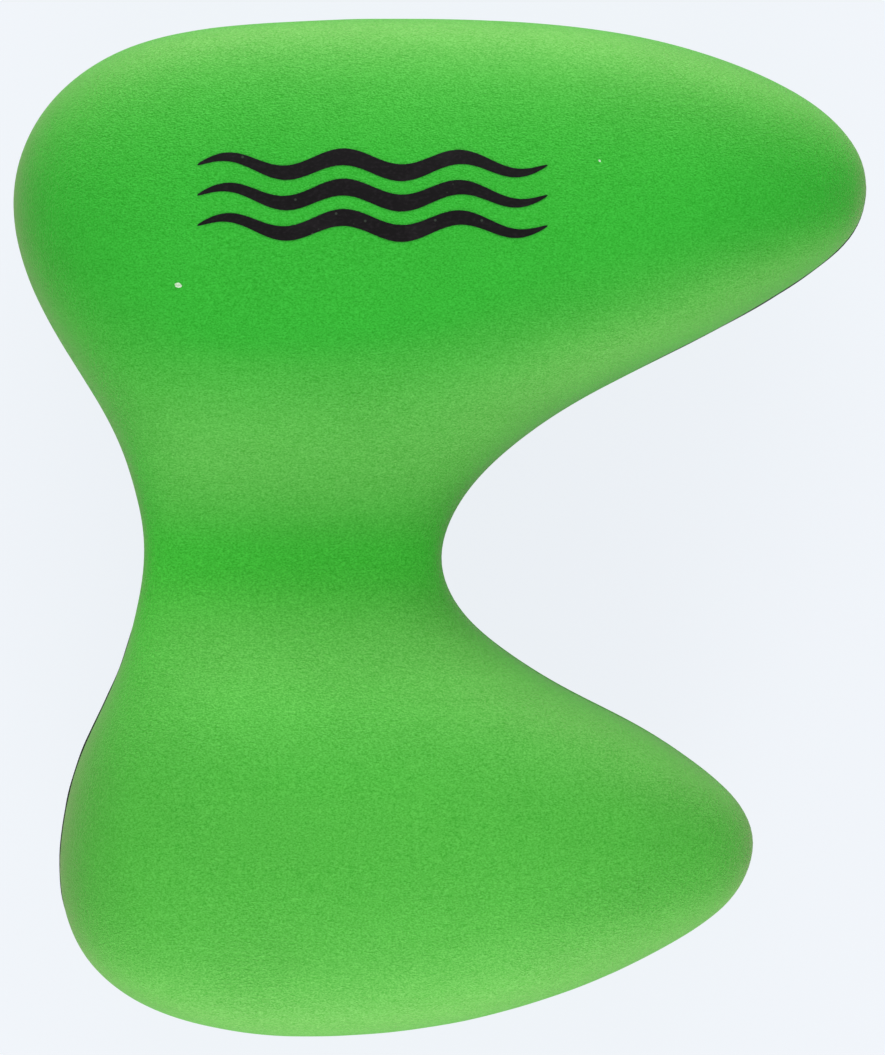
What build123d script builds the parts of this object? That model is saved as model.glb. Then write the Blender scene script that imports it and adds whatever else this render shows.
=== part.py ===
from build123d import *

# Kickboard float: three plies of closed-cell foam, bonded with two adhesive films, and a printed wave mark.
# The float lies on its rear face. X runs towards the arm tips, Y along the length, Z up through the thickness.
# The origin is on the resting surface, under the middle of the bounding box.
# Sections are worked out about the middle of the core ply, and the finished pieces are lifted at the end.

import os
from math import cos, exp, pi, sin

# Driving sizes, in millimetres
overall_thickness = 110.0  # over the flat lands on both faces
crown_rise = 49.2  # of the swell above the ply's base, before its crown is skimmed off
waist_rise = 18.7  # at the waist, above the ply's base
waist_y = -9.0
waist_reach = 40.0  # how far the hollow of the waist spreads along the length
upper_fullness = 4.0  # a higher number holds the swell nearer to the end of the board
lower_fullness = 3.5
lean = 0.014  # share of its height that the swell loses towards the upper end
crest_share = 0.31  # where the crest stands on the lobes, as a share of the width from the left edge
waist_crest_share = 0.5
flank_squareness = 2.7  # exponent of the section: 2 is a round flank, and a higher number a squarer one
waist_left_squareness = 4.5
core_thickness = 18.0
core_turn = -0.36  # degrees that the core ply sits out of register with the outer plies
film_thickness = 0.3
film_inset = 0.5  # how far the bond line stays back from the edge
ink_thickness = 0.15
wave_length = 32.3
wave_swing = 2.2
wave_width = 4.8
wave_pitch = 8.4
wave_left = -67.5
wave_right = 29.4
wave_middle = 91.8

# Outline: each side runs from the top of the board to its foot
top = (-8.0, 143.6)
foot = (-36.0, -143.9)
left_side = [
    (-26, 143.4), (-50, 142.3), (-74, 139.7), (-96.3, 132.1), (-113.7, 116.4), (-121.3, 94), (-117, 70.4),
    (-105.9, 49.1), (-93.5, 28.4), (-85.7, 5.7), (-84.3, -6.5), (-85.5, -18.2), (-91.7, -41.3),
    (-101.6, -63.1), (-107.5, -86.4), (-108.1, -98.3), (-101.2, -120.9), (-83, -135.6), (-71.5, -139.6),
    (-60, -142.1), (-48, -143.5),
]
right_side = [
    (19, 143.1), (51, 139.9), (82.7, 131.4), (97.5, 124.7), (111, 115.4), (119.7, 102), (118.1, 86.1),
    (107.2, 74.3), (93.7, 65.2), (65, 49.6), (36, 34.4), (22.6, 25.2), (10.7, 14.3), (1.9, 0.5), (0, -8.5),
    (1.2, -15.5), (10.2, -28.7), (23.3, -38.6), (37.2, -46.9), (51.9, -54.3), (66, -62.7), (79.1, -72.6),
    (88, -86), (84.5, -101.9), (72.6, -113.2), (58.4, -121.4), (43.7, -128.3), (28.3, -133.9),
    (12.4, -138.4), (-3.6, -141.5), (-19.7, -143.2), (-28, -143.7),
]

# Worked out from the driving sizes
core_top = core_thickness / 2
ply_base = core_top + film_thickness
land_height = overall_thickness / 2
middle_y = (top[1] + foot[1]) / 2
half_length = (top[1] - foot[1]) / 2
skirt = 4.0  # how far the swell's surface runs on below its ply, so that the cut is clean
stations = 24
steps_across = 24
centring = (0.16, 0.09)  # brings the middle of the bounding box over the origin

left_edge = Spline([top] + left_side + [foot], tangents=[(-1, 0), (1, 0)])
right_edge = Spline([top] + right_side + [foot], tangents=[(1, 0), (-1, 0)])


def edge_at(edge, y):
    """Where an edge of the outline is at one place along the length, by halving the edge."""
    low, high = 0.0, 1.0
    for _ in range(40):
        middle = (low + high) / 2
        if (edge @ middle).Y > y:
            low = middle
        else:
            high = middle
    return (edge @ low).X


def at_waist(on_lobes, in_waist, y):
    """A value that is one number on the lobes and turns smoothly into another at the waist."""
    nearness = exp(-(((y - waist_y) / waist_reach) ** 2))
    return on_lobes + (in_waist - on_lobes) * nearness


def swell_at(y):
    """Height of the crest above the ply's base, at one place along the length."""
    along = (y - middle_y) / half_length
    fullness = upper_fullness if along > 0 else lower_fullness
    end_cap = (1 - abs(along) ** fullness) ** (1 / fullness)
    return at_waist(crown_rise, waist_rise, y) * (1 - lean * along) * end_cap


def section(y):
    """Points across the swell at one place along the length, from the left edge over to the right."""
    left, right = edge_at(left_edge, y), edge_at(right_edge, y)
    crest = left + (right - left) * at_waist(crest_share, waist_crest_share, y)
    height = swell_at(y)
    row = [Vector(left, y, ply_base - skirt), Vector(left, y, ply_base - skirt / 2)]
    for step in range(steps_across + 1):
        angle = pi - pi * step / steps_across
        on_right = cos(angle) > 0
        reach = right - crest if on_right else crest - left
        square = flank_squareness if on_right else at_waist(flank_squareness, waist_left_squareness, y)
        radius = (abs(cos(angle)) ** square + abs(sin(angle)) ** square) ** (-1 / square)
        row.append(Vector(crest + reach * radius * cos(angle), y, ply_base + height * radius * sin(angle)))
    row += [Vector(right, y, ply_base - skirt / 2), Vector(right, y, ply_base - skirt)]
    return row


def front_ply():
    """The front ply: everything under the swell and above the ply's base, with its crowns skimmed off flat."""
    places = [
        middle_y + half_length * sin(pi / 2 * station / (stations + 0.4))
        for station in range(-stations, stations + 1)
    ]
    rows = [section(y) for y in places]
    swell = Face.make_surface_from_array_of_points(rows, tol=0.05, min_deg=3, max_deg=3)
    across = [edge for edge in swell.edges() if edge.bounding_box().size.Y < 1]
    along = [edge for edge in swell.edges() if edge.bounding_box().size.Y > 1]
    sills = [Line(edge @ 1, edge @ 0) for edge in across]
    ends = [Face(Wire([edge, sill])) for edge, sill in zip(across, sills)]
    underside = Face(Wire(along + sills))
    body = Solid(Shell([swell, underside] + ends))
    height = land_height - ply_base
    blank = Pos(0, 0, ply_base + height / 2) * Box(300, 320, height)
    return body & blank


def drawn_in(edge, turn):
    """An edge of the outline moved towards the middle of the board by the inset of the bond line."""
    steps = 48
    inner = []
    for step in range(steps + 1):
        along = edge % (step / steps)
        inner.append(edge @ (step / steps) + along.rotate(Axis.Z, turn) * film_inset)
    return Spline(inner)


def plate(edges, thickness):
    """A flat sheet inside two edges, centred on the middle of the core."""
    return extrude(make_face(edges), thickness / 2, both=True)


def wave_band(middle):
    """The face of one printed wave, which narrows to a point at both ends."""
    length = wave_right - wave_left
    steps = 24
    upper, lower = [], []
    for step in range(steps + 1):
        share = step / steps
        x = wave_left + length * share
        swing = wave_swing * sin(2 * pi * (x - wave_left) / wave_length)
        half_width = wave_width / 2 * sin(pi * share) ** 0.5
        upper.append((x, middle + swing + half_width))
        lower.append((x, middle + swing - half_width))
    return make_face([Spline(upper), Spline(lower)])


def wave_print(foam):
    """Three ink waves that lie on the front ply and follow its surface."""
    waves = []
    for row in (-1, 0, 1):
        patch = foam & extrude(wave_band(wave_middle + row * wave_pitch), overall_thickness)
        waves.append(Pos(0, 0, ink_thickness) * patch - patch)
    return Compound([solid for wave in waves for solid in wave.solids()])


front_foam = front_ply()
bond_height = core_top + film_thickness / 2
film = plate([drawn_in(left_edge, 90), drawn_in(right_edge, -90)], film_thickness)

pieces = {
    "front_foam": front_foam,
    "core_foam": Rot(0, 0, core_turn) * plate([left_edge, right_edge], core_thickness),
    "rear_foam": mirror(front_foam, Plane.XY),
    "front_bond_film": Pos(0, 0, bond_height) * film,
    "rear_bond_film": Pos(0, 0, -bond_height) * film,
    "front_print": wave_print(front_foam),
}

os.makedirs("parts", exist_ok=True)
for name, piece in pieces.items():
    export_step(Pos(*centring, land_height) * piece, f"parts/{name}.step")
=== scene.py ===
import math

import bmesh
import bpy
import numpy as np
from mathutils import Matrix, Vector


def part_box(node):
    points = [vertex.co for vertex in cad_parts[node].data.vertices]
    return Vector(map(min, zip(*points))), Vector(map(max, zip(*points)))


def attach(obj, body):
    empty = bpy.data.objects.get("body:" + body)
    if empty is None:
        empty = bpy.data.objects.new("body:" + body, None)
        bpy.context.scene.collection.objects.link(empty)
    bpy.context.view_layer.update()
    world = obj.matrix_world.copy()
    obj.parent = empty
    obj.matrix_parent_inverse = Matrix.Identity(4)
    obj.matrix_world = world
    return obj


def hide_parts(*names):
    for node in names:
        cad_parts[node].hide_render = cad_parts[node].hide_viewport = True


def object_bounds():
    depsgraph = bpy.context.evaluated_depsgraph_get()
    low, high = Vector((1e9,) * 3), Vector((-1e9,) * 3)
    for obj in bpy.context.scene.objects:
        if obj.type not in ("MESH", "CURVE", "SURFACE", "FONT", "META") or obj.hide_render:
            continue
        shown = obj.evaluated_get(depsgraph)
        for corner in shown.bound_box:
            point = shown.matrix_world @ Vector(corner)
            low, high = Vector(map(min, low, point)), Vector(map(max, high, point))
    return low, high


# A kickboard float of three foam plies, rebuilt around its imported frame. Lengths are in metres.
# The foam plies, the printed waves and the flecks are each made by a Geometry Nodes tree.

mm = 0.001
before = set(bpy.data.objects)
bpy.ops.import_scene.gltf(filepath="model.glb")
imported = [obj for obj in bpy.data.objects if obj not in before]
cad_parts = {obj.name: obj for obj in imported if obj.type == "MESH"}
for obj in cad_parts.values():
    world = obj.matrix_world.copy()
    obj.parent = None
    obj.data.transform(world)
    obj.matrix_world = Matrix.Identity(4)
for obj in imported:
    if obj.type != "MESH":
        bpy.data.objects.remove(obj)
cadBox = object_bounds()
print("frame loaded:", sorted(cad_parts))


# a socket that can be calculated with
class Socket:
    def __init__(self, graph, link):
        self.graph = graph
        self.link = link

    def calc(self, operation, *others):
        return self.graph.math(operation, self, *others)

    def __add__(self, other):
        return self.graph.math("ADD", self, other)

    def __radd__(self, other):
        return self.graph.math("ADD", other, self)

    def __sub__(self, other):
        return self.graph.math("SUBTRACT", self, other)

    def __rsub__(self, other):
        return self.graph.math("SUBTRACT", other, self)

    def __mul__(self, other):
        return self.graph.math("MULTIPLY", self, other)

    def __rmul__(self, other):
        return self.graph.math("MULTIPLY", other, self)

    def __truediv__(self, other):
        return self.graph.math("DIVIDE", self, other)

    def __rtruediv__(self, other):
        return self.graph.math("DIVIDE", other, self)

    def __pow__(self, other):
        return self.graph.math("POWER", self, other)

    def __rpow__(self, other):
        return self.graph.math("POWER", other, self)

    def between(self, low, high):
        return self.graph.node("ShaderNodeMapRange", {"interpolation_type": "SMOOTHSTEP"},
                               {"Value": self, "From Min": low, "From Max": high})

    def other(self, name):
        return Socket(self.graph, self.link.node.outputs[name])


# the node tree that sockets and nodes go in
class Graph:
    def __init__(self, nodeTree):
        self.nodeTree = nodeTree

    # adds any node: its settings first, then the values or links of its inputs, by name or by number
    def node(self, kind, settings=None, values=None):
        made = self.nodeTree.nodes.new(kind)
        for name, setting in (settings or {}).items():
            if name == "stops":
                self.setStops(made.color_ramp, setting)
            else:
                setattr(made, name, setting)
        for key, value in (values or {}).items():
            socket = made.inputs[key] if isinstance(key, int) else self.inputCalled(made, key)
            if isinstance(value, Socket):
                self.nodeTree.links.new(value.link, socket)
            else:
                socket.default_value = value
        shown = [out for out in made.outputs if out.enabled and not out.is_unavailable]
        return Socket(self, shown[0]) if shown else made

    def inputCalled(self, made, name):
        return next(s for s in made.inputs if s.name == name and s.enabled and not s.is_unavailable)

    def setStops(self, ramp, stops):
        while len(ramp.elements) < len(stops):
            ramp.elements.new(0.5)
        for element, (place, colour) in zip(ramp.elements, stops):
            element.position = place
            element.color = (*colour, 1.0)

    def math(self, operation, *terms):
        return self.node("ShaderNodeMath", {"operation": operation}, dict(enumerate(terms)))

    def vector(self, operation, *terms):
        return self.node("ShaderNodeVectorMath", {"operation": operation}, dict(enumerate(terms)))

    def scaled(self, vector, share):
        return self.node("ShaderNodeVectorMath", {"operation": "SCALE"}, {"Vector": vector, "Scale": share})

    def blend(self, share, first, second, mode="MIX"):
        return self.node("ShaderNodeMix", {"data_type": "RGBA", "blend_type": mode},
                         {"Factor": share, "A": first, "B": second})

    def noise(self, place, scale, detail=2.0, rough=0.5, warp=0.0):
        return self.node("ShaderNodeTexNoise", {"noise_dimensions": "3D"}, {
            "Vector": place, "Scale": scale, "Detail": detail, "Roughness": rough, "Distortion": warp})


def newTree(name, inputs):
    tree = bpy.data.node_groups.new(name, "GeometryNodeTree")
    tree.interface.new_socket("Geometry", in_out="INPUT", socket_type="NodeSocketGeometry")
    for label, kind in inputs.items():
        tree.interface.new_socket(label, in_out="INPUT", socket_type="NodeSocket" + kind)
    tree.interface.new_socket("Geometry", in_out="OUTPUT", socket_type="NodeSocketGeometry")
    return tree


# runs a tree on a mesh and leaves the result as a plain mesh object
def grown(name, seedMesh, tree, values):
    piece = bpy.data.objects.new(name, seedMesh)
    bpy.context.scene.collection.objects.link(piece)
    modifier = piece.modifiers.new("growth", "NODES")
    modifier.node_group = tree
    for item in tree.interface.items_tree:
        if item.item_type == "SOCKET" and item.in_out == "INPUT" and item.name in values:
            modifier[item.identifier] = values[item.name]
    bpy.context.view_layer.update()
    evaluated = piece.evaluated_get(bpy.context.evaluated_depsgraph_get())
    finished = bpy.data.meshes.new_from_object(evaluated)
    piece.modifiers.remove(modifier)
    piece.data = finished
    finished.name = name
    print(name, "grown:", len(finished.vertices), "points,", len(finished.polygons), "faces")
    return piece


# the outline is read from the rims of the CAD plies and smoothed
outlineLook = {
    "samples": 3000,
    "smoothing": 2.6 * mm,  # takes the flats of the CAD rim out of the curve
}


# points of a node at its lowest or highest level, in order round the outline
def rimOf(nodeName, level):
    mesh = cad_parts[nodeName].data
    points = np.array([v.co for v in mesh.vertices])
    target = points[:, 2].min() if level == "low" else points[:, 2].max()
    rim = np.unique(np.round(points[np.abs(points[:, 2] - target) < 1e-5][:, :2], 7), axis=0)
    top, foot = rim[rim[:, 1].argmax()], rim[rim[:, 1].argmin()]
    middle = np.interp(rim[:, 1], [foot[1], top[1]], [foot[0], top[0]])
    left = rim[rim[:, 0] < middle]
    right = rim[rim[:, 0] >= middle]
    left = left[left[:, 1].argsort()[::-1]]
    right = right[right[:, 1].argsort()]
    return np.vstack([left, right])


def smoothLoop(points, samples, width):
    closed = np.vstack([points, points[:1]])
    run = np.r_[0, np.cumsum(np.linalg.norm(np.diff(closed, axis=0), axis=1))]
    even = np.linspace(0, run[-1], samples, endpoint=False)
    loop = np.column_stack([np.interp(even, run, closed[:, i]) for i in range(2)])
    frequency = np.fft.fftfreq(samples, run[-1] / samples)[:, None]
    blur = np.exp(-2 * (np.pi * frequency * width) ** 2)
    keep = blur * (2 - blur)  # puts back what plain smoothing would shrink
    return np.fft.ifft(np.fft.fft(loop, axis=0) * keep, axis=0).real


def loopOf(nodeName, level):
    return smoothLoop(rimOf(nodeName, level), outlineLook["samples"], outlineLook["smoothing"])


# the outer plies: sections across the board, swept along its length by a tree
plyLook = {
    "stations": 300,  # sections along the length
    "endZone": 0.002 * mm,  # of the length, where the sections shrink to a point
    "seamGap": 0.002 * mm,  # points closer than this are joined
    "across": 300,  # steps over the swell of each section
    "under": 1,  # steps back under the flat base
    "crownRise": 49.2 * mm,  # of the swell before its crown is skimmed off
    "waistRise": 18.7 * mm,
    "waistPlace": -8.91 * mm,
    "waistReach": 40 * mm,
    "upperFullness": 4.0,
    "lowerFullness": 3.5,
    "lean": 0.014,
    "crestShare": 0.31,  # of the width from the left edge, on the lobes
    "waistCrestShare": 0.5,
    "squareness": 2.7,
    "waistLeftSquareness": 4.5,
    "rimRadius": 0.9 * mm,  # of the soft edge where the ply meets its bond line
    "landSoftness": 2.2 * mm,  # how gently the swell runs into its flat land
    "swellDepth": 0.30 * mm,  # of the slow unevenness of cut foam
    "swellScale": 26.0,
    "rippleDepth": 0.10 * mm,
    "rippleScale": 95.0,
    "rimCalm": 6 * mm,  # height over the rim within which the unevenness dies out
    "crowding": 0.72,  # how much closer the steps stand at the rim than on the crown
}


def atWaist(onLobes, inWaist, y):
    nearness = np.exp(-(((y - plyLook["waistPlace"]) / plyLook["waistReach"]) ** 2))
    return onLobes + (inWaist - onLobes) * nearness


# one side of the outline as x over y, with the direction that faces outwards
def sideOf(loop, y, pickLeft):
    top, foot = loop[:, 1].argmax(), loop[:, 1].argmin()
    count = len(loop)
    steps = (foot - top) % count if pickLeft else (top - foot) % count
    start = top if pickLeft else foot
    side = loop[(start + np.arange(steps + 1)) % count]
    run = np.gradient(side, axis=0)
    outward = np.column_stack([run[:, 1], -run[:, 0]])
    outward /= np.linalg.norm(outward, axis=1)[:, None]
    if pickLeft:
        side, outward = side[::-1], outward[::-1]
    rising = np.maximum.accumulate(side[:, 1])
    keep = np.r_[True, np.diff(rising) > 0]  # leaves out what dips back where the end is almost flat
    side, outward = side[keep], outward[keep]
    x = np.interp(y, side[:, 1], side[:, 0])
    facing = np.column_stack([np.interp(y, side[:, 1], outward[:, i]) for i in range(2)])
    return x, facing / np.linalg.norm(facing, axis=1)[:, None]


# the sections' places and sizes, spaced so that the faces between them stay even
def stationsAlong(loop, count):
    low, high = loop[:, 1].min(), loop[:, 1].max()
    middle, half = (low + high) / 2, (high - low) / 2
    turn = np.linspace(-np.pi / 2, np.pi / 2, 6001)
    full = np.where(turn > 0, plyLook["upperFullness"], plyLook["lowerFullness"])
    reach = (np.abs(np.sin(turn)) ** full + np.abs(np.cos(turn)) ** full) ** (-1 / full)
    along, cap = np.sin(turn) * reach, np.cos(turn) * reach
    y = middle + half * np.clip(along, -1, 1)
    rise = atWaist(plyLook["crownRise"], plyLook["waistRise"], y) * (1 - plyLook["lean"] * along) * cap
    left, leftOut = sideOf(loop, y, True)
    right, rightOut = sideOf(loop, y, False)
    shrinkToPoint(y < low + plyLook["endZone"], rise, left, right)
    shrinkToPoint(y > high - plyLook["endZone"], rise, left, right)
    table = np.column_stack([y, rise, left, right, leftOut, rightOut])
    run = np.r_[0, np.cumsum(np.linalg.norm(np.diff(table[:, :4], axis=0), axis=1))]
    even = np.linspace(0, run[-1], count)
    return np.column_stack([np.interp(even, run, column) for column in table.T])


# the sections nearest an end of the board shrink evenly to a point
def shrinkToPoint(nearEnd, rise, left, right):
    edge = nearEnd.sum() if nearEnd[0] else len(nearEnd) - nearEnd.sum() - 1
    centre = (left[edge] + right[edge]) / 2
    share = rise[nearEnd] / rise[edge]
    left[nearEnd] = centre + (left[edge] - centre) * share
    right[nearEnd] = centre + (right[edge] - centre) * share


def spineMesh(name, loop, count):
    table = stationsAlong(loop, count)
    y, rise, left, right = table[:, :4].T
    crest = left + (right - left) * atWaist(plyLook["crestShare"], plyLook["waistCrestShare"], y)
    square = atWaist(plyLook["squareness"], plyLook["waistLeftSquareness"], y)
    mesh = bpy.data.meshes.new(name)
    mesh.from_pydata([(x, place, 0) for x, place in zip(crest, y)], [], [])
    for label, values in {"left": left, "right": right, "rise": rise, "square": square}.items():
        mesh.attributes.new(label, "FLOAT", "POINT").data.foreach_set("value", values.astype(np.float32))
    for label, values in {"leftOut": table[:, 4:6], "rightOut": table[:, 6:8]}.items():
        flat = np.column_stack([values, np.zeros(count)]).astype(np.float32)
        mesh.attributes.new(label, "FLOAT_VECTOR", "POINT").data.foreach_set("vector", flat.ravel())
    return mesh


def plyTree():
    tree = newTree("foamPly", {"Base": "Float", "Side": "Float", "Land": "Float", "Stations": "Int",
                               "Seed": "Float", "Foam": "Material"})
    g = Graph(tree)
    given = g.node("NodeGroupInput")
    base, side, land = (given.other(name) for name in ("Base", "Side", "Land"))
    stations, seed = given.other("Stations"), given.other("Seed")
    over, under = plyLook["across"], plyLook["under"]

    grid = g.node("GeometryNodeMeshGrid", {}, {"Vertices X": over + under + 1, "Vertices Y": stations})
    index = g.node("GeometryNodeInputIndex")
    step = (index / stations).calc("FLOOR")
    station = index - step * stations

    def fromSpine(name, kind):
        field = g.node("GeometryNodeInputNamedAttribute", {"data_type": kind}, {"Name": name})
        return g.node("GeometryNodeSampleIndex", {"data_type": kind},
                      {"Geometry": given, "Value": field, "Index": station})

    spinePoint = g.node("GeometryNodeInputPosition")
    centre = g.node("GeometryNodeSampleIndex", {"data_type": "FLOAT_VECTOR"},
                    {"Geometry": given, "Value": spinePoint, "Index": station})
    left, right, rise = (fromSpine(name, "FLOAT") for name in ("left", "right", "rise"))
    leftSquare = fromSpine("square", "FLOAT")
    leftOut, rightOut = (fromSpine(name, "FLOAT_VECTOR") for name in ("leftOut", "rightOut"))
    split = g.node("ShaderNodeSeparateXYZ", {}, {0: centre})
    crest, y = split, split.other("Y")

    # over the swell: a superellipse with its steps drawn closer towards the rim
    share = (step / over).calc("MINIMUM", 1.0)
    fullTurn = 2 * math.pi
    angle = math.pi * (1 - share + (share * fullTurn).calc("SINE") * (plyLook["crowding"] / fullTurn))
    lift, sway = (angle.calc("SINE") - 1e-6).calc("MAXIMUM", 0.0), angle.calc("COSINE")
    onRight = sway.calc("GREATER_THAN", 0.0)
    square = onRight * plyLook["squareness"] + (1 - onRight) * leftSquare
    radius = (sway.calc("ABSOLUTE") ** square + lift ** square) ** (-1 / square)
    reach = onRight * (right - crest) + (1 - onRight) * (crest - left)
    height = rise * radius * lift
    x = crest + reach * radius * sway

    # the rim is drawn in along the outline's own normal, by a quarter round
    rim = plyLook["rimRadius"]
    gap = (1 - height / rim).calc("MAXIMUM", 0.0)
    drawn = rim * (1 - (1 - gap * gap).calc("MAXIMUM", 0.0).calc("SQRT"))
    facing = g.node("ShaderNodeMix", {"data_type": "VECTOR"}, {
        "Factor": onRight, "A": leftOut, "B": rightOut})
    softened = height.calc("SMOOTH_MIN", land - base, plyLook["landSoftness"])
    z = base + side * softened
    point = g.node("ShaderNodeCombineXYZ", {}, {"X": x, "Y": y, "Z": z})
    point = g.vector("SUBTRACT", point, g.scaled(facing, drawn))

    # back under the base, straight from the right rim to the left
    back = ((step - over) / under).calc("MAXIMUM", 0.0)
    across = g.node("ShaderNodeCombineXYZ", {}, {"X": left - right})
    across = g.vector("ADD", across, g.scaled(g.vector("SUBTRACT", rightOut, leftOut), rim))
    point = g.vector("ADD", point, g.scaled(across, back))
    shaped = g.node("GeometryNodeSetPosition", {}, {"Geometry": grid, "Position": point})
    high = g.node("GeometryNodeStoreNamedAttribute", {"data_type": "FLOAT", "domain": "POINT"},
                  {"Geometry": shaped, "Name": "height", "Value": height * back.calc("LESS_THAN", 1e-6)})
    welded = g.node("GeometryNodeMergeByDistance", {}, {"Geometry": high, "Distance": plyLook["seamGap"]})

    # slow swells and short ripples, only ever inwards, that die out at the rim
    place = g.node("GeometryNodeInputPosition")
    moved = g.vector("ADD", place, g.node("ShaderNodeCombineXYZ", {}, {"X": seed, "Y": seed}))
    slow = g.noise(moved, plyLook["swellScale"], 2.0) * plyLook["swellDepth"]
    short = g.noise(moved, plyLook["rippleScale"], 1.0) * plyLook["rippleDepth"]
    fromRim = g.node("GeometryNodeInputNamedAttribute", {"data_type": "FLOAT"}, {"Name": "height"})
    inwards = (slow + short) * fromRim.between(0.0, plyLook["rimCalm"]) * -1
    normal = g.node("GeometryNodeInputNormal")
    uneven = g.node("GeometryNodeSetPosition", {}, {
        "Geometry": turnedOut(g, welded, side), "Offset": g.scaled(normal, inwards)})
    smooth = g.node("GeometryNodeSetShadeSmooth", {}, {"Geometry": uneven})

    # painted sheen: how far the surface tilts towards the lamps at the head and foot, most on a middling
    # slope along the board, kept to paint the foam paler there
    lean = g.node("ShaderNodeSeparateXYZ", {}, {0: g.node("GeometryNodeInputNormal")})
    steepest = 0.385  # the most that the product below comes to
    paintedSheenShare = lean.other("Y") * lean.other("Y") * lean.other("Z").calc("ABSOLUTE") / steepest
    smooth = g.node("GeometryNodeStoreNamedAttribute", {"data_type": "FLOAT", "domain": "POINT"},
                    {"Geometry": smooth, "Name": "sawn", "Value": paintedSheenShare})
    solid = g.node("GeometryNodeRealizeInstances", {}, {"Geometry": smooth})
    coated = g.node("GeometryNodeSetMaterial", {}, {"Geometry": solid, "Material": given.other("Foam")})
    g.node("NodeGroupOutput", {}, {"Geometry": coated})
    return tree


# faces turned over where the ply is the rear one, so that they point outwards
def turnedOut(g, geometry, side):
    return g.node("GeometryNodeFlipFaces", {}, {"Mesh": geometry, "Selection": side.calc("LESS_THAN", 0.0)})


def makePly(name, node, side, seed, tree, foam):
    low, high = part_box(node)
    base, land = (low.z, high.z) if side > 0 else (high.z, low.z)
    loop = loopOf(node, "low" if side > 0 else "high")
    spine = spineMesh(name, loop, plyLook["stations"])
    ply = grown(name, spine, tree, {
        "Base": base, "Side": float(side), "Land": base + abs(land - base), "Stations": plyLook["stations"],
        "Seed": seed, "Foam": foam})
    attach(ply, "root")
    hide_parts(node)
    return ply


# the core ply: a flat black sheet whose cut edge shows between the outer plies
coreLook = {
    "stations": 300,
    "edgeRadius": 0.5 * mm,
    "roundSteps": 4,
    "wallSteps": 14,
    "capSteps": 8,
    "waver": 0.12 * mm,  # how far the cut edge wanders
    "longWaver": (127, -210),  # along the edge and up it, in radians per metre
    "shortWaver": (310, 90),
    "seamGap": 0.02 * mm,
    "setBack": 0.22 * mm,  # behind the rims of the outer plies
    "shift": (-0.15 * mm, 0.20 * mm),
}


def makeCore(foam):
    low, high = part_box("core_foam")
    table = stationsAlong(loopOf("core_foam", "low"), coreLook["stations"])
    y, left, right = table[:, 0], table[:, 2], table[:, 3]
    radius = coreLook["edgeRadius"]
    turn = np.linspace(0, np.pi / 2, coreLook["roundSteps"] + 1)
    foot = np.column_stack([radius * (1 - np.sin(turn)), low.z + radius * (1 - np.cos(turn))])
    wall = np.linspace(low.z + radius, high.z - radius, coreLook["wallSteps"] + 1)[1:-1]
    head = np.column_stack([foot[::-1, 0], low.z + high.z - foot[::-1, 1]])
    profile = np.vstack([foot, np.column_stack([np.zeros(len(wall)), wall]), head])

    def column(edge, outward, inset, z):
        waves = [np.sin(y * along + z * up) for along, up in (coreLook["shortWaver"], coreLook["longWaver"])]
        wander = waves[0] * waves[1] * coreLook["waver"] * (inset < 1e-6)
        shift = -inset + wander - coreLook["waver"] - coreLook["setBack"]
        aside, ahead = coreLook["shift"]
        return np.column_stack([edge + outward[:, 0] * shift + aside, y + outward[:, 1] * shift + ahead,
                                np.full(len(y), z)])

    up = [column(left, table[:, 4:6], inset, z) for inset, z in profile]
    down = [column(right, table[:, 6:8], inset, z) for inset, z in profile[::-1]]
    shares = np.linspace(0, 1, coreLook["capSteps"] + 1)[1:-1]
    lid = [up[-1] + (down[0] - up[-1]) * share for share in shares]
    floor = [down[-1] + (up[0] - down[-1]) * share for share in shares]
    rings = np.stack(up + lid + down + floor)
    around, along = rings.shape[:2]
    number = np.arange(around * along).reshape(around, along)
    ahead = np.roll(number, -1, axis=0)
    faces = np.stack([number[:, :-1], number[:, 1:], ahead[:, 1:], ahead[:, :-1]], axis=-1).reshape(-1, 4)
    mesh = bpy.data.meshes.new("coreFoam")
    mesh.from_pydata(rings.reshape(-1, 3).tolist(), [], faces.tolist())
    weld(mesh, coreLook["seamGap"])
    core = bpy.data.objects.new("coreFoam", mesh)
    bpy.context.scene.collection.objects.link(core)
    mesh.materials.append(foam)
    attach(core, "root")
    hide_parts("core_foam")
    print("coreFoam made:", len(mesh.polygons), "faces")
    return core


def weld(mesh, distance):
    shape = bmesh.new()
    shape.from_mesh(mesh)
    bmesh.ops.remove_doubles(shape, verts=shape.verts, dist=distance)
    bmesh.ops.dissolve_degenerate(shape, edges=shape.edges, dist=distance / 10)
    bmesh.ops.recalc_face_normals(shape, faces=shape.faces)
    for face in shape.faces:
        face.smooth = True
    shape.to_mesh(mesh)
    shape.free()


# the printed waves: ink that lies on the front ply
printLook = {
    "waves": 3,
    "pitch": 8.4 * mm,
    "waveLength": 32.3 * mm,
    "swing": 2.2 * mm,
    "width": 4.8 * mm,
    "along": 420,
    "across": 20,
    "thickness": 0.11 * mm,
    "sunk": 0.12 * mm,  # the ink's underside, inside the foam
    "seamGap": 0.005 * mm,
    "ragged": 0.07 * mm,
    "raggedScale": 1500.0,
}


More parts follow.
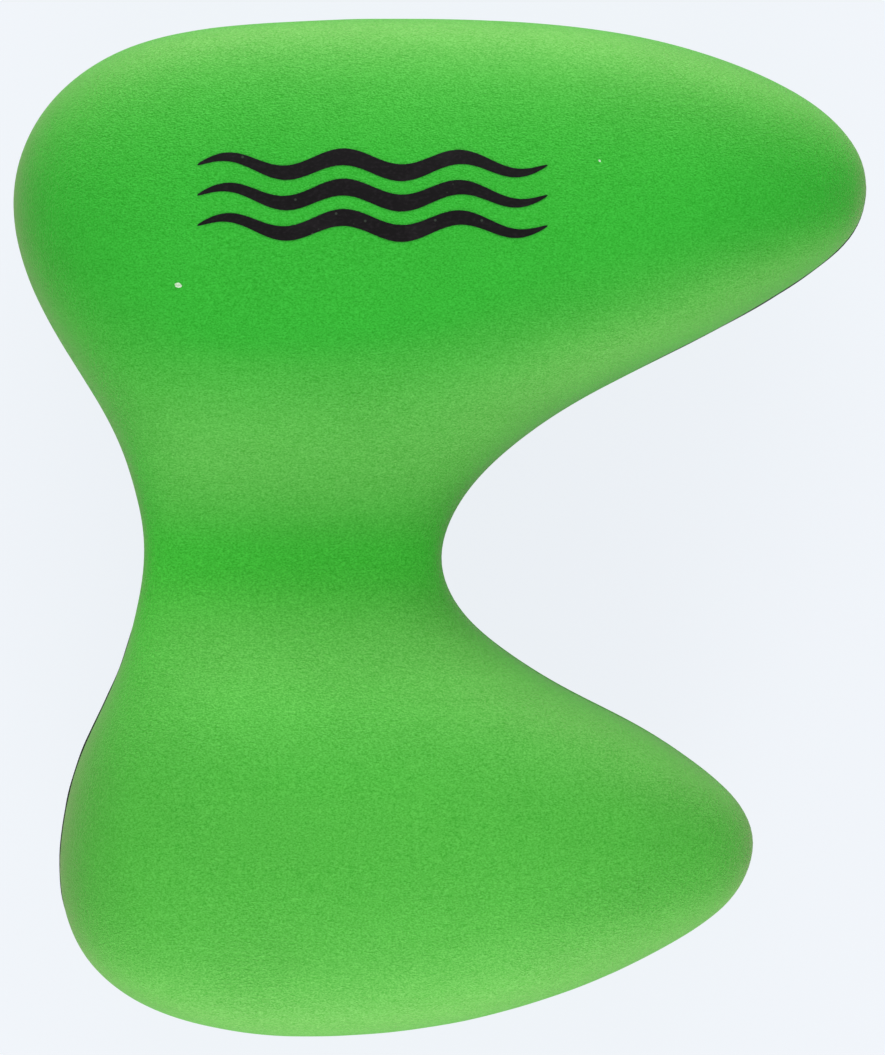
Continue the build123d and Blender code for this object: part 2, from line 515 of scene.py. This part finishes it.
def printTree():
    tree = newTree("printedWaves", {"Ply": "Object", "Left": "Float", "Right": "Float", "Middle": "Float",
                                    "Ink": "Material"})
    g = Graph(tree)
    given = g.node("NodeGroupInput")
    left, right, middle = (given.other(name) for name in ("Left", "Right", "Middle"))
    ply = g.node("GeometryNodeObjectInfo", {"transform_space": "ORIGINAL"}, {"Object": given.other("Ply")})
    surface = ply.other("Geometry")
    along, across = printLook["along"], printLook["across"]
    sheets = g.node("GeometryNodeJoinGeometry")
    for wave in range(printLook["waves"]):
        row = wave - (printLook["waves"] - 1) / 2
        grid = g.node("GeometryNodeMeshGrid", {}, {"Vertices X": along + 1, "Vertices Y": across + 1})
        index = g.node("GeometryNodeInputIndex")
        step = (index / (across + 1)).calc("FLOOR")
        share = step / along
        spread = (index - step * (across + 1)) / across * 2 - 1
        x = left + (right - left) * share
        swing = ((x - left) * (2 * math.pi / printLook["waveLength"])).calc("SINE") * printLook["swing"]
        taper = (share * math.pi).calc("SINE").calc("MAXIMUM", 0.0).calc("SQRT")
        side = g.node("ShaderNodeCombineXYZ", {}, {"X": x, "Y": spread.calc("SIGN") + row * 7})
        ragged = (g.noise(side, printLook["raggedScale"], 2.0) - 0.5) * (2 * printLook["ragged"])
        y = middle + row * printLook["pitch"] + swing + spread * taper * (ragged + printLook["width"] / 2)
        above = g.node("ShaderNodeCombineXYZ", {}, {"X": x, "Y": y, "Z": 1.0})
        ray = g.node("GeometryNodeRaycast", {}, {"Target Geometry": surface, "Source Position": above,
                                                 "Ray Direction": (0, 0, -1), "Ray Length": 2.0})
        low = g.vector("SUBTRACT", ray.other("Hit Position"), (0, 0, printLook["sunk"]))
        laid = g.node("GeometryNodeSetPosition", {}, {"Geometry": grid, "Position": low})
        g.nodeTree.links.new(laid.link, sheets.link.node.inputs["Geometry"])
    rise = printLook["sunk"] + printLook["thickness"]
    lift = g.node("ShaderNodeCombineXYZ", {}, {"Z": rise})
    raised = g.node("GeometryNodeExtrudeMesh", {"mode": "FACES"}, {
        "Mesh": sheets, "Offset": lift, "Offset Scale": 1.0, "Individual": False})
    under = g.node("GeometryNodeFlipFaces", {}, {"Mesh": sheets})
    both = g.node("GeometryNodeJoinGeometry")
    for part in (raised, under):
        g.nodeTree.links.new(part.link, both.link.node.inputs["Geometry"])
    welded = g.node("GeometryNodeMergeByDistance", {}, {"Geometry": both, "Distance": printLook["seamGap"]})
    solid = g.node("GeometryNodeRealizeInstances", {}, {"Geometry": welded})
    inked = g.node("GeometryNodeSetMaterial", {}, {"Geometry": solid, "Material": given.other("Ink")})
    g.node("NodeGroupOutput", {}, {"Geometry": inked})
    return tree


def makePrint(ply, ink):
    low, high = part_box("front_print")
    waves = grown("frontPrint", bpy.data.meshes.new("frontPrint"), printTree(), {
        "Ply": ply, "Left": low.x, "Right": high.x, "Middle": (low.y + high.y) / 2, "Ink": ink})
    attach(waves, "root")
    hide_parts("front_print")
    return waves


# flecks: specks of lint and foam crumbs that cling to the front
fleckLook = {
    "places": [(-72.6, 67.0, 0.95), (43.9, 101.6, 0.38)],  # x, y and size, in millimetres
    "narrowness": 0.7,
    "flatness": 0.4,
    "lumpScale": 1.6,
    "lumpDepth": 0.9,
    "turns": (-0.9, 0.2),  # least and most, in radians
}


def fleckTree():
    tree = newTree("flecks", {"Ply": "Object", "Fleck": "Material"})
    g = Graph(tree)
    given = g.node("NodeGroupInput")
    ply = g.node("GeometryNodeObjectInfo", {"transform_space": "ORIGINAL"}, {"Object": given.other("Ply")})
    surface = ply.other("Geometry")
    place = g.node("GeometryNodeInputPosition")
    above = g.vector("ADD", place, (0, 0, 1.0))
    ray = g.node("GeometryNodeRaycast", {}, {"Target Geometry": surface, "Source Position": above,
                                             "Ray Direction": (0, 0, -1), "Ray Length": 2.0})
    laid = g.node("GeometryNodeSetPosition", {}, {"Geometry": given, "Position": ray.other("Hit Position")})
    points = g.node("GeometryNodeMeshToPoints", {}, {"Mesh": laid})
    crumb = g.node("GeometryNodeMeshIcoSphere", {}, {"Radius": 1.0, "Subdivisions": 4})
    lumps = g.noise(g.node("GeometryNodeInputPosition"), fleckLook["lumpScale"], 3.0) - 0.5
    swelling = g.scaled(g.node("GeometryNodeInputNormal"), lumps * fleckLook["lumpDepth"])
    shape = g.node("GeometryNodeSetPosition", {}, {"Geometry": crumb, "Offset": swelling})
    size = g.node("GeometryNodeInputNamedAttribute", {"data_type": "FLOAT"}, {"Name": "size"})
    stretch = g.node("ShaderNodeCombineXYZ", {}, {
        "X": size, "Y": size * fleckLook["narrowness"], "Z": size * fleckLook["flatness"]})
    least, most = fleckLook["turns"]
    turn = g.node("FunctionNodeRandomValue", {"data_type": "FLOAT"}, {"Min": least, "Max": most, "Seed": 4})
    spun = g.node("GeometryNodeInstanceOnPoints", {}, {
        "Points": points, "Instance": shape, "Scale": stretch,
        "Rotation": g.node("ShaderNodeCombineXYZ", {}, {"Z": turn})})
    solid = g.node("GeometryNodeRealizeInstances", {}, {"Geometry": spun})
    smooth = g.node("GeometryNodeSetShadeSmooth", {}, {"Geometry": solid})
    coated = g.node("GeometryNodeSetMaterial", {}, {"Geometry": smooth, "Material": given.other("Fleck")})
    g.node("NodeGroupOutput", {}, {"Geometry": coated})
    return tree


def makeFlecks(ply, crumb):
    mesh = bpy.data.meshes.new("flecks")
    mesh.from_pydata([(x * mm, y * mm, 0) for x, y, size in fleckLook["places"]], [], [])
    sizes = np.array([size * mm for x, y, size in fleckLook["places"]], np.float32)
    mesh.attributes.new("size", "FLOAT", "POINT").data.foreach_set("value", sizes)
    flecks = grown("flecks", mesh, fleckTree(), {"Ply": ply, "Fleck": crumb})
    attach(flecks, "root")
    return flecks


def newMaterial(name):
    material = bpy.data.materials.new(name)
    material.use_nodes = True
    material.node_tree.nodes.clear()
    return material, Graph(material.node_tree)


def finishMaterial(g, settings):
    shader = g.node("ShaderNodeBsdfPrincipled", {}, settings)
    g.node("ShaderNodeOutputMaterial", {}, {"Surface": shader})


# a bump whose height is given in metres
def raised(g, relief):
    return g.node("ShaderNodeBump", {}, {"Strength": 1.0, "Distance": 1.0, "Height": relief})


def stretched(g, place, x, y, z):
    return g.node("ShaderNodeMapping", {}, {"Vector": place, "Scale": (x, y, z)})


# sparse pits: one cell in a few holds a pinhole, the rest stay whole
def pinholes(g, place, scale, share, size):
    cell = g.node("ShaderNodeTexVoronoi", {"feature": "F1"}, {"Vector": place, "Scale": scale})
    pick = g.node("ShaderNodeSeparateColor", {}, {0: cell.other("Color")}).calc("LESS_THAN", share)
    return pick * (1 - cell.other("Distance").between(size * 0.5, size))


greenLook = {
    "deep": (0.0398, 0.500, 0.0394, 1.0),
    "lower": (0.092, 0.515, 0.0610, 1.0),  # painted light: paler towards the foot, which the foot lamps light more
    # painted light: a brighter green round the waist, where the lobes shade the saddle from the low lamps
    "waist": (0.080, 0.740, 0.0600, 1.0),
    "sawn": (0.160, 0.520, 0.1000, 1.0),  # painted sheen: paler where a slope faces the head and foot lamps
    # painted shade: the darker green inside each pinhole
    "pitShade": (0.006, 0.110, 0.012, 1.0),
    "roughness": 0.42,
    "specular": 0.05,
    "sheen": 0.34,
    "sheenRoughness": 0.4,
    "sheenTint": (1.0, 0.82, 0.56, 1.0),
    "footLitFade": (-81 * mm, -9 * mm),
    # centre and spread of the painted waist light
    "waistPlace": -22 * mm,
    "waistLightSpread": 28 * mm,
    "patchScale": 16.0,
    "patchTone": 0.12,
    "blotchScale": 85.0,
    "blotchTone": 0.06,
    "streakScale": 130.0,
    "streakTone": 0.10,
    "wrinkleScale": 1500.0,
    "wrinkleTone": 0.12,
    "wrinkleDepth": 0.14 * mm,
    "calmScale": 22.0,  # of the areas where the wrinkles are weaker
    "grainScale": 2700.0,
    "grainTone": 0.30,
    "grainDepth": 0.10 * mm,
    "plainTone": 0.86,  # of the foam before the patches, blotches and streaks lighten it
    "redGrain": 2.3,  # how much more the grain shows in red and blue than in green
    "blueGrain": 2.5,
    "pitScale": 95.0,
    "pitShare": 0.05,
    "pitSize": 0.035,
    "pitDepth": 0.25 * mm,
}


def attribute(g, name):
    return g.node("ShaderNodeAttribute", {"attribute_name": name}).other("Fac")


def greenFoam():
    look = greenLook
    material, g = newMaterial("greenFoam")
    place = g.node("ShaderNodeTexCoord").other("Object")
    patches = g.noise(place, look["patchScale"], 3.0, 0.5)
    blotches = g.noise(place, look["blotchScale"], 4.0, 0.55)
    wrinkles = g.noise(stretched(g, place, 0.55, 1.0, 0.9), look["wrinkleScale"], 3.0, 0.6, 0.5)
    wrinkles = wrinkles.between(0.28, 0.72)
    grain = g.noise(stretched(g, place, 0.65, 1.0, 1.0), look["grainScale"], 1.0, 0.6).between(0.25, 0.75)
    streaks = g.noise(stretched(g, place, 0.07, 1.0, 0.6), look["streakScale"], 3.0, 0.6)
    pits = pinholes(g, place, look["pitScale"], look["pitShare"], look["pitSize"])
    y = g.node("ShaderNodeSeparateXYZ", {}, {0: place}).other("Y")
    fromWaist = (y - look["waistPlace"]) / look["waistLightSpread"]
    paintedWaistLight = (fromWaist * fromWaist * -1).calc("EXPONENT")
    # painted light: paler towards the foot, which the foot lamps light more
    colour = g.blend(1 - y.between(*look["footLitFade"]), look["deep"], look["lower"])
    # painted light: brighter round the waist, where the lobes shade it from the low lamps
    colour = g.blend(paintedWaistLight, colour, look["waist"])
    # painted sheen: paler on slopes that face the head and foot lamps
    colour = g.blend(attribute(g, "sawn"), colour, look["sawn"])
    cells = (grain - 0.5) * look["grainTone"] + (wrinkles - 0.5) * look["wrinkleTone"]
    shade = look["plainTone"] + patches * look["patchTone"] + blotches * look["blotchTone"]
    shade = shade + streaks * look["streakTone"]
    tones = {0: shade + cells * look["redGrain"], 1: shade + cells, 2: shade + cells * look["blueGrain"]}
    colour = g.blend(1.0, colour, g.node("ShaderNodeCombineColor", {}, tones), "MULTIPLY")
    # painted shade: darker inside the pinholes
    colour = g.blend(pits, colour, look["pitShade"])
    coarse = 0.55 + 0.45 * g.noise(place, look["calmScale"], 1.0).between(0.4, 0.62)
    relief = wrinkles * coarse * look["wrinkleDepth"] + grain * look["grainDepth"] - pits * look["pitDepth"]
    bump = raised(g, relief)
    finishMaterial(g, {
        "Base Color": colour, "Roughness": look["roughness"] + (grain - 0.5) * 0.12, "Normal": bump,
        "Specular IOR Level": look["specular"], "Sheen Weight": look["sheen"],
        "Sheen Roughness": look["sheenRoughness"], "Sheen Tint": look["sheenTint"]})
    return material


blackLook = {
    "deep": (0.010, 0.012, 0.011, 1.0),
    "worn": (0.026, 0.030, 0.028, 1.0),
    "roughness": 0.7,
    "sawScale": 520.0,
    "sawDepth": 0.08 * mm,
    "poreScale": 900.0,
    "poreDepth": 0.10 * mm,
}


def blackFoam():
    look = blackLook
    material, g = newMaterial("blackFoam")
    place = g.node("ShaderNodeTexCoord").other("Object")
    sawn = g.noise(stretched(g, place, 1.0, 1.0, 0.22), look["sawScale"], 3.0, 0.55)
    pores = g.node("ShaderNodeTexVoronoi", {"feature": "F1"}, {"Vector": place, "Scale": look["poreScale"]})
    depth = pores.other("Distance")
    colour = g.blend(sawn.between(0.35, 0.7), look["deep"], look["worn"])
    relief = depth.between(0.1, 0.6) * look["poreDepth"] + sawn * look["sawDepth"]
    bump = raised(g, relief)
    finishMaterial(g, {"Base Color": colour, "Roughness": look["roughness"] + (sawn - 0.5) * 0.2,
                       "Normal": bump, "Specular IOR Level": 0.3})
    return material


adhesiveLook = {
    "dark": (0.11, 0.075, 0.035, 1.0),
    "pale": (0.23, 0.17, 0.085, 1.0),
    "roughness": 0.35,
    "streakScale": 240.0,
    "streakDepth": 0.1 * mm,
}


def adhesive():
    look = adhesiveLook
    material, g = newMaterial("driedAdhesive")
    place = g.node("ShaderNodeTexCoord").other("Object")
    streaks = g.noise(place, look["streakScale"], 4.0, 0.6)
    colour = g.blend(streaks.between(0.3, 0.7), look["dark"], look["pale"])
    bump = raised(g, streaks * look["streakDepth"])
    finishMaterial(g, {"Base Color": colour, "Roughness": look["roughness"] + streaks * 0.2, "Normal": bump})
    return material


inkLook = {
    "solid": (0.0065, 0.0055, 0.0065, 1.0),
    "thin": (0.020, 0.017, 0.020, 1.0),
    "speck": (0.060, 0.075, 0.060, 1.0),
    "roughness": 0.5,
    "grainScale": 1500.0,
    "grainDepth": 0.09 * mm,
    "cloudScale": 140.0,
    "speckScale": 620.0,
    "speckShare": 0.10,
    "speckSize": 0.30,
}


def ink():
    look = inkLook
    material, g = newMaterial("blackInk")
    place = g.node("ShaderNodeTexCoord").other("Object")
    grain = g.noise(stretched(g, place, 0.6, 1.0, 1.0), look["grainScale"], 3.0, 0.6)
    cloud = g.noise(place, look["cloudScale"], 3.0, 0.5)
    specks = pinholes(g, place, look["speckScale"], look["speckShare"], look["speckSize"])
    thinness = grain.between(0.45, 0.75) * 0.6 + cloud.between(0.5, 0.8) * 0.4
    colour = g.blend(thinness, look["solid"], look["thin"])
    colour = g.blend(specks * 0.6, colour, look["speck"])
    bump = raised(g, grain * look["grainDepth"])
    finishMaterial(g, {"Base Color": colour, "Roughness": look["roughness"] + (grain - 0.5) * 0.2,
                       "Normal": bump, "Specular IOR Level": 0.12})
    return material


crumbLook = {
    "stained": (0.42, 0.66, 0.38, 1.0),
    "pale": (0.78, 0.90, 0.74, 1.0),
    "roughness": 0.6,
    "fibreScale": 1800.0,
}


def crumb():
    look = crumbLook
    material, g = newMaterial("paleCrumb")
    place = g.node("ShaderNodeTexCoord").other("Object")
    fibre = g.noise(place, look["fibreScale"], 3.0, 0.6)
    colour = g.blend(fibre.between(0.3, 0.7), look["stained"], look["pale"])
    finishMaterial(g, {"Base Color": colour, "Roughness": look["roughness"] + fibre * 0.2})
    return material


# the stage: floor, light and camera
stageLook = {
    "viewHeight": 301.0 * mm,  # seen by the camera at the middle of the core
    "cameraHeight": 1.7,
    "cameraX": 0.44 * mm,
    "cameraY": 0.09 * mm,
    "floorReach": 4.0,
    "floorMatte": (0.07, 0.07, 0.07, 1.0),
    "floorTone": (0.879, 0.913, 0.965, 1.0),
    "floorGlow": 0.93,
    "air": (1.0, 1.0, 1.0, 1.0),
    "airStrength": 0.42,
}

# each softbox: its bearing and its height above the floor in degrees, and its power in watts
lightLook = {
    "topLow": (90, 14, 17.0),
    "topHigh": (90, 48, 3.4),
    "footLow": (270, 12, 10.3),
    "footHigh": (270, 28, 8.6),
}
softboxLook = {
    "width": 1.4,
    "height": 0.5,
    "distance": 1.4,  # from a point over the object's middle
    "aimHeight": 80 * mm,
}


def makeLights():
    for name, (bearing, climb, power) in lightLook.items():
        lamp = bpy.data.lights.new(name, "AREA")
        lamp.shape = "RECTANGLE"
        lamp.size, lamp.size_y = softboxLook["width"], softboxLook["height"]
        lamp.energy = power
        turn, tilt = math.radians(bearing), math.radians(climb)
        away = Vector((math.cos(turn) * math.cos(tilt), math.sin(turn) * math.cos(tilt), math.sin(tilt)))
        holder = bpy.data.objects.new(name, lamp)
        holder.location = away * softboxLook["distance"] + Vector((0, 0, softboxLook["aimHeight"]))
        holder.rotation_euler = (-away).to_track_quat("-Z", "Y").to_euler()
        bpy.context.scene.collection.objects.link(holder)
    world = bpy.data.worlds.new("studioAir")
    world.use_nodes = True
    world.node_tree.nodes["Background"].inputs["Color"].default_value = stageLook["air"]
    world.node_tree.nodes["Background"].inputs["Strength"].default_value = stageLook["airStrength"]
    bpy.context.scene.world = world


def makeFloor():
    mesh = bpy.data.meshes.new("studioFloor")
    reach = stageLook["floorReach"]
    mesh.from_pydata([(-reach, -reach, 0), (reach, -reach, 0), (reach, reach, 0), (-reach, reach, 0)],
                     [], [(0, 1, 2, 3)])
    floor = bpy.data.objects.new("studioFloor", mesh)
    bpy.context.scene.collection.objects.link(floor)
    material, g = newMaterial("studioFloor")
    matte = g.node("ShaderNodeBsdfDiffuse", {}, {"Color": stageLook["floorMatte"]})
    glow = g.node("ShaderNodeEmission", {}, {
        "Color": stageLook["floorTone"], "Strength": stageLook["floorGlow"]})
    both = g.node("ShaderNodeAddShader", {}, {0: matte, 1: glow})
    g.node("ShaderNodeOutputMaterial", {}, {"Surface": both})
    mesh.materials.append(material)
    floor.visible_diffuse = False
    floor.visible_glossy = False
    floor.visible_shadow = False


def makeCamera():
    camera = bpy.data.cameras.new("camera")
    holder = bpy.data.objects.new("camera", camera)
    bpy.context.scene.collection.objects.link(holder)
    low, high = cadBox
    height = stageLook["cameraHeight"]
    holder.location = (stageLook["cameraX"], stageLook["cameraY"], (low[2] + high[2]) / 2 + height)
    camera.sensor_fit = "VERTICAL"
    camera.sensor_height = 24.0
    camera.lens = camera.sensor_height * height / stageLook["viewHeight"]
    camera.clip_end = 20.0
    bpy.context.scene.camera = holder
    view = bpy.context.scene.view_settings
    view.view_transform = "Standard"
    view.look = "None"
    view.exposure = 0.0


makeCamera()
makeLights()
makeFloor()
print("stage set")

green, black = greenFoam(), blackFoam()
plies = plyTree()
frontFoam = makePly("frontFoam", "front_foam", 1, 0.0, plies, green)
makePly("rearFoam", "rear_foam", -1, 3.7, plies, green)
makeCore(black)
glue = adhesive()
for name in ("front_bond_film", "rear_bond_film"):
    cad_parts[name].data.materials.clear()
    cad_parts[name].data.materials.append(glue)
makePrint(frontFoam, ink())
makeFlecks(frontFoam, crumb())
print("pieces made")

bpy.context.view_layer.update()
